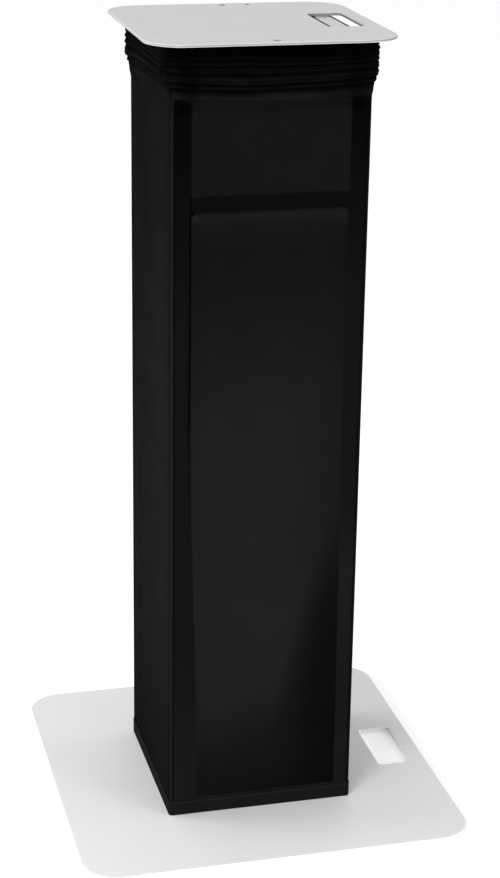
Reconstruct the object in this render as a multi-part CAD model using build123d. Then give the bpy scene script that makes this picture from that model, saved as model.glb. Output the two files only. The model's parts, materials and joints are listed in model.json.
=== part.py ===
from build123d import *
from math import cos, radians, sin
import os

# Height-adjustable display plinth: two steel plates joined by a telescoping square-tube frame, with a
# stretch-fabric cover. Millimetres, +Z up. The origin is on the floor under the middle of the column,
# the front faces -Y and left is -X. The lift is at its lowest setting, so the surplus of the cover is
# gathered under the top plate.

# ---- Driving dimensions ----

PLINTH_HEIGHT = 1000.0  # floor to top face, lift fully down
COLUMN_SIZE = 240.0  # side of the covered column

BASE_SIZE = 500.0
BASE_THICK = 5.0
BASE_CORNER_R = 45.0
TOP_SIZE = 300.0
TOP_THICK = 3.0
TOP_CORNER_R = 45.0
PLATE_EDGE_R = 0.8  # eased edges of both plates

SLOT_WIDTH = 44.0  # along X
SLOT_LENGTH = 102.0  # along Y
SLOT_CORNER_R = 6.0
BASE_SLOT_RIM = 22.0  # metal left between the slot and the plate's right edge
TOP_SLOT_RIM = 21.0

FIXING_HOLE_D = 9.0  # two holes in the top plate's overhang, front and rear
AUX_HOLE_D = 6.5  # smaller hole beside the rear one
HOLE_EDGE = 15.0  # from those holes to the plate's edge
AUX_HOLE_SHIFT = 32.0

POST_SIZE = 25.0  # lower posts, square tube
TUBE_WALL = 1.5
BORE_CORNER_R = 0.5  # inside the tubes
RAIL_SIZE = 20.0  # rails of the lower frame; those of the lift frame are of its posts' tube
BUSH_WALL = 0.9  # plastic between the lower and inner posts
LIFT_CLEARANCE = 0.1  # inner post to bush, each side
EXPOSED_HEIGHT = 62.0  # inner post showing between the lower posts and the top plate
CROSS_RAIL_DROP = 116.0  # post top down to the cross rail's upper face

BUSH_DEPTH = 40.0
BUSH_FLANGE = 3.0
GLIDE_FLANGE = 6.0
GLIDE_DEPTH = 25.0
GLIDE_CLEARANCE = 0.2
FOOT_BLOCK_HEIGHT = 30.0
STOP_CLEARANCE = 0.3  # glide plug to foot block, lift fully down
INSERT_CORNER_EASE = 0.3  # extra corner radius of what sits inside a tube

BASE_SCREW_D = 8.0
BASE_SCREW_LENGTH = 28.0
BASE_SCREW_HEAD_D = 16.0
SCREW_SOCKET = 5.0  # across flats
SCREW_SOCKET_DEPTH = 2.5
SCREW_CLEARANCE = 0.2  # radial, screws in plain holes
THREAD_CLEARANCE = 0.05  # radial, screws in threaded holes

FOOT_PAD_D = 30.0
FOOT_PAD_THICK = 2.5
FOOT_PAD_INSET = 40.0  # pad centre from the plate's edges

TOP_STUD_D = 6.0
TOP_STUD_INSET = 20.0  # stud to the inner post beside it, along Y
TOP_STUD_TAIL = 5.0  # stud showing under the wing nut
WASHER_D = 14.0
WASHER_THICK = 1.6
WING_HUB_D = 11.0
WING_HUB_HEIGHT = 6.0
WING_LENGTH = 11.0
WING_HEIGHT = 9.0
WING_THICK = 2.4

CLAMP_DROP = 65.0  # post top down to the clamp screw
CLAMP_SCREW_D = 6.0
CLAMP_TRAVEL = 3.0  # how far the screw backs out
CLAMP_NUT_SIZE = 14.0
CLAMP_NUT_THICK = 8.0
CLAMP_PAD_D = 5.6
CLAMP_PAD_THICK = 2.0
CLAMP_PAD_GAP = 0.1  # pad to inner post, tightened
PAD_NOSE_D = 3.0
PAD_NOSE_LENGTH = 1.2
PAD_NOSE_END_GAP = 0.2
PAD_SHOULDER_GAP = 0.1
KNOB_GAP = 4.0  # nut to knob, tightened
KNOB_HUB_D = 13.0
KNOB_HUB_HEIGHT = 3.0
KNOB_HEIGHT = 11.0
KNOB_LOBES = 6
KNOB_NOTCH_R = 3.6
KNOB_NOTCH_BITE = 2.0
KNOB_EDGE_R = 1.2
KNOB_BORE_DEPTH = 9.0

FABRIC_THICK = 0.9
HOOK_THICK = 0.8
LOOP_THICK = 0.8
TAPE_WIDTH = 18.0
TAPE_MARGIN = 1.0  # tape to the plate beside it
COVER_GAP = 0.5  # cover's bottom edge above the base plate
GATHER_OVERLAP = 5.0  # the gathers start this far below the post tops
GATHER_BULGE = 5.0  # the gathers stand out this far past the column
GATHER_CORNER_R = 6.0
GATHER_LIP = 10.0  # height of the top hem that turns in to the tape
SOFT_CLEARANCE = 0.3  # gathers to the moving frame

# ---- Worked-out sizes and heights ----

BASE_BOTTOM_Z = FOOT_PAD_THICK
BASE_TOP_Z = BASE_BOTTOM_Z + BASE_THICK
TOP_BOTTOM_Z = PLINTH_HEIGHT - TOP_THICK
POST_TOP_Z = TOP_BOTTOM_Z - EXPOSED_HEIGHT

FRAME_SIZE = COLUMN_SIZE - 2 * (FABRIC_THICK + HOOK_THICK + LOOP_THICK)
POST_AXIS = (FRAME_SIZE - POST_SIZE) / 2
POST_BORE = POST_SIZE - 2 * TUBE_WALL
TUBE_CORNER_R = BORE_CORNER_R + TUBE_WALL
INSERT_CORNER_R = BORE_CORNER_R + INSERT_CORNER_EASE
INNER_SIZE = POST_BORE - 2 * (BUSH_WALL + LIFT_CLEARANCE)
INNER_BORE = INNER_SIZE - 2 * TUBE_WALL
INNER_BOTTOM_Z = BASE_TOP_Z + FOOT_BLOCK_HEIGHT + STOP_CLEARANCE + GLIDE_FLANGE
LIFT_FRAME_SIZE = 2 * POST_AXIS + INNER_SIZE
POST_SPAN = 2 * POST_AXIS - POST_SIZE
INNER_SPAN = 2 * POST_AXIS - INNER_SIZE

CLAMP_Z = POST_TOP_Z - CLAMP_DROP
CLAMP_PAD_FACE = -(TUBE_WALL + BUSH_WALL + LIFT_CLEARANCE) + CLAMP_PAD_GAP
CLAMP_PAD_BACK = CLAMP_PAD_FACE + CLAMP_PAD_THICK
CLAMP_SHOULDER = CLAMP_PAD_BACK + PAD_SHOULDER_GAP
KNOB_FACE = CLAMP_NUT_THICK + KNOB_GAP
KNOB_D = POST_SIZE  # no wider than the post, so that it stays inside the cover

TOP_STUD_Y = INNER_SPAN / 2 - TOP_STUD_INSET
HOLE_Y = TOP_SIZE / 2 - HOLE_EDGE
BASE_SLOT_X = BASE_SIZE / 2 - BASE_SLOT_RIM - SLOT_WIDTH / 2
TOP_SLOT_X = TOP_SIZE / 2 - TOP_SLOT_RIM - SLOT_WIDTH / 2

COVER_BOTTOM_Z = BASE_TOP_Z + COVER_GAP
COVER_TOP_Z = POST_TOP_Z - GATHER_OVERLAP
GATHER_TOP_Z = TOP_BOTTOM_Z - TAPE_MARGIN
COVER_INNER = COLUMN_SIZE - 2 * FABRIC_THICK
TOP_TAPE_OUTER = LIFT_FRAME_SIZE + 2 * (HOOK_THICK + LOOP_THICK)

CORNERS = {
    "front_left": (-1, -1),
    "front_right": (1, -1),
    "rear_left": (-1, 1),
    "rear_right": (1, 1),
}
ENDS = {"front": -1, "rear": 1}
SIDES = {"left": -1, "right": 1}

parts = {}


# ---- Shapes that repeat ----


def at_corners(shape, x, y, z=0.0):
    """Four copies, one in each quarter."""
    return Compound([Pos(sx * x, sy * y, z) * shape for sx, sy in CORNERS.values()])


def square_tube(size, length):
    """Square tube standing on the XY plane."""
    outline = RectangleRounded(size, size, TUBE_CORNER_R)
    bore = size - 2 * TUBE_WALL
    return extrude(outline - RectangleRounded(bore, bore, BORE_CORNER_R), length)


def plate(size, thick, corner_r, slot_x):
    """Square plate with round corners, eased edges and a hand slot, its underside on the XY plane."""
    blank = extrude(RectangleRounded(size, size, corner_r), thick)
    rims = blank.faces().sort_by(Axis.Z)
    blank = fillet(rims[0].edges() + rims[-1].edges(), PLATE_EDGE_R)
    slot = extrude(RectangleRounded(SLOT_WIDTH, SLOT_LENGTH, SLOT_CORNER_R), thick)
    return blank - Pos(slot_x, 0, 0) * slot


def hole(diameter, depth, clearance=0.0):
    """Round cutter standing on the XY plane."""
    return extrude(Circle(diameter / 2 + clearance), depth)


def square_band(inner, thick, height):
    """Four strips round a square, the front and rear ones lapping the ends of the others."""
    outer = inner + 2 * thick
    offset = (inner + thick) / 2
    lift = Pos(0, 0, height / 2)
    across = lift * Box(outer, thick, height)
    along = lift * Box(thick, inner, height)
    strips = [Pos(0, sy * offset, 0) * across for sy in ENDS.values()]
    strips += [Pos(sx * offset, 0, 0) * along for sx in SIDES.values()]
    return Compound(strips)


# ---- Base ----


def base_plate():
    body = plate(BASE_SIZE, BASE_THICK, BASE_CORNER_R, BASE_SLOT_X)
    return Pos(0, 0, BASE_BOTTOM_Z) * (body - at_corners(countersunk_cutter(), POST_AXIS, POST_AXIS))


def countersunk_blank(clearance, length):
    """Countersunk head and shank, head down on the XY plane."""
    head_height = (BASE_SCREW_HEAD_D - BASE_SCREW_D) / 2
    head = Cone(
        BASE_SCREW_HEAD_D / 2 + clearance,
        BASE_SCREW_D / 2 + clearance,
        head_height,
        align=(Align.CENTER, Align.CENTER, Align.MIN),
    )
    return head + hole(BASE_SCREW_D, length, clearance)


def countersunk_cutter():
    return countersunk_blank(SCREW_CLEARANCE, BASE_THICK)


def base_screws():
    socket = extrude(RegularPolygon(SCREW_SOCKET / 2, 6, major_radius=False), SCREW_SOCKET_DEPTH)
    screw = countersunk_blank(0.0, BASE_SCREW_LENGTH) - socket
    return at_corners(screw, POST_AXIS, POST_AXIS, BASE_BOTTOM_Z)


def base_feet():
    pad = hole(FOOT_PAD_D, FOOT_PAD_THICK)
    place = BASE_SIZE / 2 - FOOT_PAD_INSET
    return at_corners(pad, place, place)


parts["base_plate"] = base_plate()
parts["base_screws"] = base_screws()
parts["base_feet"] = base_feet()


# ---- Lower frame: two welded ladders, front and rear ----


def lower_post(side_x):
    """Lower post on the XY plane, with the clamp hole in the face that looks along X to the column's axis."""
    post = square_tube(POST_SIZE, POST_TOP_Z - BASE_TOP_Z)
    drill = Rotation(0, -side_x * 90, 0) * hole(CLAMP_SCREW_D, POST_SIZE, SCREW_CLEARANCE)
    return post - Pos(0, 0, CLAMP_Z - BASE_TOP_Z) * drill


def foot_block():
    """Threaded block in the foot of a lower post."""
    block = extrude(RectangleRounded(POST_BORE, POST_BORE, INSERT_CORNER_R), FOOT_BLOCK_HEIGHT)
    return block - hole(BASE_SCREW_D, FOOT_BLOCK_HEIGHT, THREAD_CLEARANCE)


def guide_bush():
    """Plastic bush in the mouth of a lower post, its flange on the XY plane and its sleeve below."""
    sleeve = extrude(RectangleRounded(POST_BORE, POST_BORE, INSERT_CORNER_R), -BUSH_DEPTH)
    flange = extrude(RectangleRounded(POST_SIZE, POST_SIZE, TUBE_CORNER_R), BUSH_FLANGE)
    bore = INNER_SIZE + 2 * LIFT_CLEARANCE
    opening = extrude(RectangleRounded(bore, bore, TUBE_CORNER_R), BUSH_DEPTH + BUSH_FLANGE)
    return sleeve + flange - Pos(0, 0, -BUSH_DEPTH) * opening


def lying_rail(size, span):
    """Square tube lying along X, centred."""
    return Pos(-span / 2, 0, 0) * Rotation(0, 90, 0) * square_tube(size, span)


for corner, (sx, sy) in CORNERS.items():
    foot = Pos(sx * POST_AXIS, sy * POST_AXIS, BASE_TOP_Z)
    mouth = Pos(sx * POST_AXIS, sy * POST_AXIS, POST_TOP_Z)
    parts[f"lower_post_{corner}"] = foot * lower_post(sx)
    parts[f"foot_block_{corner}"] = foot * foot_block()
    parts[f"guide_bush_{corner}"] = mouth * guide_bush()

for end, sy in ENDS.items():
    rail_y = sy * (FRAME_SIZE - RAIL_SIZE) / 2
    rail = lying_rail(RAIL_SIZE, POST_SPAN)
    cross_z = POST_TOP_Z - CROSS_RAIL_DROP - RAIL_SIZE / 2
    parts[f"bottom_rail_{end}"] = Pos(0, rail_y, BASE_TOP_Z + RAIL_SIZE / 2) * rail
    parts[f"cross_rail_{end}"] = Pos(0, rail_y, cross_z) * rail


# ---- Lift frame ----


def glide_plug():
    """Plug in the bottom of an inner post, its flange below the XY plane."""
    flange_size = POST_BORE - 2 * GLIDE_CLEARANCE
    flange = extrude(RectangleRounded(flange_size, flange_size, TUBE_CORNER_R), -GLIDE_FLANGE)
    return flange + extrude(RectangleRounded(INNER_BORE, INNER_BORE, INSERT_CORNER_R), GLIDE_DEPTH)


def side_rail():
    """Top rail along Y under the plate, drilled for the plate's two studs, its upper face on the XY plane."""
    rail = Pos(0, 0, -INNER_SIZE / 2) * Rotation(0, 0, 90) * lying_rail(INNER_SIZE, INNER_SPAN)
    drill = Pos(0, 0, -INNER_SIZE) * hole(TOP_STUD_D, INNER_SIZE, SCREW_CLEARANCE)
    return rail - Pos(0, TOP_STUD_Y, 0) * drill - Pos(0, -TOP_STUD_Y, 0) * drill


def top_plate():
    body = plate(TOP_SIZE, TOP_THICK, TOP_CORNER_R, TOP_SLOT_X)
    fixing = hole(FIXING_HOLE_D, TOP_THICK)
    for sy in ENDS.values():
        body -= Pos(0, sy * HOLE_Y, 0) * fixing
    body -= Pos(AUX_HOLE_SHIFT, HOLE_Y, 0) * hole(AUX_HOLE_D, TOP_THICK)
    return Pos(0, 0, TOP_BOTTOM_Z) * body


def wing_nut():
    """Wing nut, its seat on the XY plane and its wings below, spread along Y."""
    hub = extrude(Circle(WING_HUB_D / 2), -WING_HUB_HEIGHT)
    wing = extrude(Plane.YZ * Ellipse(WING_LENGTH / 2, WING_HEIGHT / 2), WING_THICK / 2, both=True)
    reach = WING_HUB_D / 2 + WING_LENGTH / 4
    drop = -WING_HUB_HEIGHT + WING_HEIGHT / 6
    body = hub + Pos(0, reach, drop) * wing + Pos(0, -reach, drop) * wing
    tall = 2 * WING_HEIGHT
    return body - Pos(0, 0, -tall / 2) * hole(TOP_STUD_D, tall, THREAD_CLEARANCE)


for corner, (sx, sy) in CORNERS.items():
    seat = Pos(sx * POST_AXIS, sy * POST_AXIS, INNER_BOTTOM_Z)
    parts[f"inner_post_{corner}"] = seat * square_tube(INNER_SIZE, TOP_BOTTOM_Z - INNER_BOTTOM_Z)
    parts[f"glide_plug_{corner}"] = seat * glide_plug()

for end, sy in ENDS.items():
    place = Pos(0, sy * POST_AXIS, TOP_BOTTOM_Z - INNER_SIZE / 2)
    parts[f"top_rail_{end}"] = place * lying_rail(INNER_SIZE, INNER_SPAN)
for side, sx in SIDES.items():
    parts[f"top_rail_{side}"] = Pos(sx * POST_AXIS, 0, TOP_BOTTOM_Z) * side_rail()

washer = hole(WASHER_D, WASHER_THICK) - hole(TOP_STUD_D, WASHER_THICK, SCREW_CLEARANCE)
washer_z = TOP_BOTTOM_Z - INNER_SIZE - WASHER_THICK
stud_length = INNER_SIZE + WASHER_THICK + WING_HUB_HEIGHT + TOP_STUD_TAIL
stud = hole(TOP_STUD_D, stud_length)
parts["top_plate"] = top_plate()
parts["top_studs"] = at_corners(stud, POST_AXIS, TOP_STUD_Y, TOP_BOTTOM_Z - stud_length)
parts["top_washers"] = at_corners(washer, POST_AXIS, TOP_STUD_Y, washer_z)
parts["top_wing_nuts"] = at_corners(wing_nut(), POST_AXIS, TOP_STUD_Y, washer_z)


# ---- Clamps: drawn along +Z from the post's face, then laid along X towards the column's axis ----


def clamp_nut():
    block = extrude(RectangleRounded(CLAMP_NUT_SIZE, CLAMP_NUT_SIZE, TUBE_CORNER_R), CLAMP_NUT_THICK)
    return block - hole(CLAMP_SCREW_D, CLAMP_NUT_THICK, THREAD_CLEARANCE)


def clamp_pad():
    pad = hole(CLAMP_PAD_D, CLAMP_PAD_THICK)
    socket = hole(PAD_NOSE_D, PAD_NOSE_LENGTH + PAD_NOSE_END_GAP, THREAD_CLEARANCE)
    socket_floor = CLAMP_PAD_THICK - PAD_NOSE_LENGTH - PAD_NOSE_END_GAP + PAD_SHOULDER_GAP
    return Pos(0, 0, CLAMP_PAD_FACE) * (pad - Pos(0, 0, socket_floor) * socket)


def clamp_screw():
    shank = hole(CLAMP_SCREW_D, KNOB_FACE + KNOB_BORE_DEPTH - CLAMP_SHOULDER)
    nose = Pos(0, 0, -PAD_NOSE_LENGTH) * hole(PAD_NOSE_D, PAD_NOSE_LENGTH)
    return Pos(0, 0, CLAMP_SHOULDER) * (shank + nose)


def clamp_knob():
    outline = Circle(KNOB_D / 2)
    notch_place = KNOB_D / 2 + KNOB_NOTCH_R - KNOB_NOTCH_BITE
    for lobe in range(KNOB_LOBES):
        turn = radians(360 / KNOB_LOBES * lobe)
        outline -= Pos(notch_place * cos(turn), notch_place * sin(turn)) * Circle(KNOB_NOTCH_R)
    grip = extrude(outline, KNOB_HEIGHT)
    rims = grip.faces().sort_by(Axis.Z)
    grip = fillet(rims[0].edges() + rims[-1].edges(), KNOB_EDGE_R)
    knob = Pos(0, 0, KNOB_HUB_HEIGHT) * grip + hole(KNOB_HUB_D, KNOB_HUB_HEIGHT)
    bore = hole(CLAMP_SCREW_D, KNOB_BORE_DEPTH + THREAD_CLEARANCE, THREAD_CLEARANCE)
    return Pos(0, 0, KNOB_FACE) * (knob - bore)


clamp_nuts = []
for corner, (sx, sy) in CORNERS.items():
    face = Pos(sx * (POST_AXIS - POST_SIZE / 2), sy * POST_AXIS, CLAMP_Z) * Rotation(0, -sx * 90, 0)
    clamp_nuts.append(face * clamp_nut())
    parts[f"clamp_pad_{corner}"] = face * clamp_pad()
    parts[f"clamp_screw_{corner}"] = face * clamp_screw()
    parts[f"clamp_knob_{corner}"] = face * clamp_knob()
parts["clamp_weld_nuts"] = Compound(clamp_nuts)


# ---- Cover and its hook-and-loop tapes ----


def base_hook_tape():
    """Hook tape across the front and rear ladders, and on the outer side of each post."""
    lift = Pos(0, 0, COVER_BOTTOM_Z + TAPE_MARGIN + TAPE_WIDTH / 2)
    offset = (FRAME_SIZE + HOOK_THICK) / 2
    across = lift * Box(FRAME_SIZE, HOOK_THICK, TAPE_WIDTH)
    patch = lift * Box(HOOK_THICK, POST_SIZE, TAPE_WIDTH)
    pieces = [Pos(0, sy * offset, 0) * across for sy in ENDS.values()]
    pieces += [Pos(sx * offset, sy * POST_AXIS, 0) * patch for sx, sy in CORNERS.values()]
    return Compound(pieces)


def cover_gather():
    """The surplus of the cover under the top plate, as one ring whose top hem turns in to the tape."""
    outer = COLUMN_SIZE + 2 * GATHER_BULGE
    hem = TOP_TAPE_OUTER + 2 * SOFT_CLEARANCE
    height = GATHER_TOP_Z - COVER_TOP_Z
    ring = extrude(RectangleRounded(outer, outer, GATHER_CORNER_R), height)
    ring -= extrude(Rectangle(COVER_INNER, COVER_INNER), height - GATHER_LIP)
    ring -= extrude(Rectangle(hem, hem), height)
    return Pos(0, 0, COVER_TOP_Z) * ring


tape_z = Pos(0, 0, COVER_BOTTOM_Z + TAPE_MARGIN)
top_tape_z = Pos(0, 0, GATHER_TOP_Z - TAPE_WIDTH)
parts["base_hook_tape"] = base_hook_tape()
parts["base_loop_tape"] = tape_z * square_band(FRAME_SIZE + 2 * HOOK_THICK, LOOP_THICK, TAPE_WIDTH)
parts["top_hook_tape"] = top_tape_z * square_band(LIFT_FRAME_SIZE, HOOK_THICK, TAPE_WIDTH)
parts["top_loop_tape"] = top_tape_z * square_band(LIFT_FRAME_SIZE + 2 * HOOK_THICK, LOOP_THICK, TAPE_WIDTH)

cover_height = COVER_TOP_Z - COVER_BOTTOM_Z
cover_offset = (COLUMN_SIZE - FABRIC_THICK) / 2
cover_mid_z = COVER_BOTTOM_Z + cover_height / 2
for end, sy in ENDS.items():
    panel = Box(COLUMN_SIZE, FABRIC_THICK, cover_height)
    parts[f"cover_{end}_panel"] = Pos(0, sy * cover_offset, cover_mid_z) * panel
for side, sx in SIDES.items():
    panel = Box(FABRIC_THICK, COVER_INNER, cover_height)
    parts[f"cover_{side}_panel"] = Pos(sx * cover_offset, 0, cover_mid_z) * panel
parts["cover_gather"] = cover_gather()


# ---- Files ----

os.makedirs("parts", exist_ok=True)
for name, shape in parts.items():
    export_step(shape, f"parts/{name}.step")
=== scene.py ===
"""Height-adjustable display plinth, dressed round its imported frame.

Metres, +Z up, the front towards -Y, the origin on the floor under the middle of the column.
The steel keeps its modelled solids and gets its finishes here. The cover, its hem, its stitches
and the touch tapes are built here as cloth.
"""
import json
import logging
import math
from collections.abc import Sequence
from dataclasses import dataclass, field
from enum import Enum

import bpy
import numpy as np
from mathutils import Matrix, Vector


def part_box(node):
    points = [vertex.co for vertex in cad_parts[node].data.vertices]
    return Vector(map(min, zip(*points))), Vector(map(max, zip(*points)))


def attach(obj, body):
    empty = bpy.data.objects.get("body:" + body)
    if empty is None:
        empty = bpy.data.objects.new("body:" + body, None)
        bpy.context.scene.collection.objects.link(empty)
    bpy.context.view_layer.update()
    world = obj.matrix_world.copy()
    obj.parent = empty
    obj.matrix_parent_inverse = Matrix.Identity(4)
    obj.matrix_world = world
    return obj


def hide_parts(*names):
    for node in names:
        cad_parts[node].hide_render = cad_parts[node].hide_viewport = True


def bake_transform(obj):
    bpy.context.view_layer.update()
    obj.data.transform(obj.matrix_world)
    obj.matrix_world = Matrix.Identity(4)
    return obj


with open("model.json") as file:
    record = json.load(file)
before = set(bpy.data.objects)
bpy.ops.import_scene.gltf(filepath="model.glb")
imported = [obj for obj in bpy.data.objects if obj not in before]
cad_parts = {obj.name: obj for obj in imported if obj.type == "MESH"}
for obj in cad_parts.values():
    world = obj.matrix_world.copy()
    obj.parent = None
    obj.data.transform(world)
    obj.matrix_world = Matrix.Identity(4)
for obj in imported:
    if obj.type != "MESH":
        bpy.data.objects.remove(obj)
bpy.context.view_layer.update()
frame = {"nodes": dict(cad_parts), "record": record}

log = logging.getLogger("plinth")

Array = np.ndarray
Colour = tuple[float, float, float]
Place = tuple[float, float, float]
Spans = tuple[tuple[float, int], ...]
Rises = tuple[tuple[float, float, float], ...]
Piece = bpy.types.Object
Material = bpy.types.Material
Socket = bpy.types.NodeSocket

MM = 0.001
CLOTH_MAP = "cloth"  # the map that holds the place on the flat cloth
PAINTED_LIGHT_LAYER = "painted_light_tone"  # the vertex layer of painted light and shade, from darkest (0) to lightest (1)


# ---- Shared shaping helpers ----


def ease(value: Array | float, low: float, high: float) -> Array:
    """Rises smoothly from 0 at low to 1 at high.

    Args:
        value: Where to look.
        low: Where the rise starts.
        high: Where the rise ends; below low for a fall.

    Returns:
        The share of the rise, 0 to 1.
    """
    share = np.clip((value - low) / (high - low), 0.0, 1.0)
    return share * share * (3.0 - 2.0 * share)


def rises(height: Array, parts: Rises) -> Array:
    """The sum of each part's gain, which comes in between its two heights."""
    return sum(gain * ease(height, low, high) for gain, low, high in parts)


def bell(value: Array | float, centre: float, width: float) -> Array:
    """A bell of height 1 at centre that falls to about a third at width from it."""
    return np.exp(-(((value - centre) / width) ** 2))


@dataclass(frozen=True)
class Ripple:
    """Smooth unevenness that meets itself round the column.

    Attributes:
        seed: Which of many alike patterns.
        around: How many waves go round the column.
        rise: Height of one wave up the column.
    """

    seed: int
    around: int
    rise: float

    def at(self, turn: Array, height: Array) -> Array:
        """Looks the pattern up.

        Args:
            turn: Share of the way round the column.
            height: Height up the column.

        Returns:
            Values from -1 to 1.
        """
        levels = 512
        grid = np.random.default_rng(self.seed).uniform(-1.0, 1.0, (levels, self.around))
        across = np.asarray(turn) * self.around
        up = np.asarray(height) / self.rise + levels // 2
        col, row = np.floor(across).astype(int), np.floor(up).astype(int)
        fx, fy = ease(across - col, 0.0, 1.0), ease(up - row, 0.0, 1.0)
        left, right = col % self.around, (col + 1) % self.around
        low, high = row % levels, (row + 1) % levels
        near = grid[low, left] * (1 - fx) + grid[low, right] * fx
        far = grid[high, left] * (1 - fx) + grid[high, right] * fx
        return near * (1 - fy) + far * fy


def steps(start: float, spans: Spans) -> Array:
    """Places along a line, closer together where a span asks for more.

    Args:
        start: The first place.
        spans: Each span's end and how many equal steps lead to it.

    Returns:
        All the places, the start included.
    """
    places = [start]
    for end, count in spans:
        places.extend(np.linspace(places[-1], end, count + 1)[1:])
    return np.array(places)


def travel(points: Array) -> Array:
    """How far along a line each of its points lies."""
    return np.concatenate(([0.0], np.cumsum(np.linalg.norm(np.diff(points, axis=0), axis=1))))


def new_mesh(name: str, points: Array, faces: Sequence[Sequence[int]], smooth: bool = True) -> Piece:
    """Makes an object from points and faces.

    Args:
        name: The piece's name.
        points: One row of x, y and z for each vertex.
        faces: Vertex numbers of each face.
        smooth: Whether light runs smoothly over the edges.

    Returns:
        The object, linked to the scene.
    """
    mesh = bpy.data.meshes.new(name)
    mesh.from_pydata(np.asarray(points, float).tolist(), [], [list(map(int, f)) for f in faces])
    mesh.update()
    mesh.polygons.foreach_set("use_smooth", [smooth] * len(mesh.polygons))
    piece = bpy.data.objects.new(name, mesh)
    bpy.context.scene.collection.objects.link(piece)
    return piece


def set_cloth(piece: Piece, places: Array, tone: Array) -> None:
    """Tells the knit how it lies on a piece, and where light and shade are painted on it.

    Args:
        piece: The mesh object.
        places: Place on the flat cloth, one row of two numbers for each face corner.
        tone: Painted light and shade at each vertex, 0 darkest to 1 lightest.
    """
    cloth = piece.data.uv_layers.new(name=CLOTH_MAP)
    cloth.data.foreach_set("uv", np.asarray(places, np.float32).ravel())
    layer = piece.data.attributes.new(PAINTED_LIGHT_LAYER, "FLOAT", "POINT")
    layer.data.foreach_set("value", tone.astype(np.float32))


# ---- Finishes ----


def shade(colour: Colour, by: float) -> Colour:
    """The colour made lighter or darker by a factor."""
    return tuple(channel * by for channel in colour)


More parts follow.
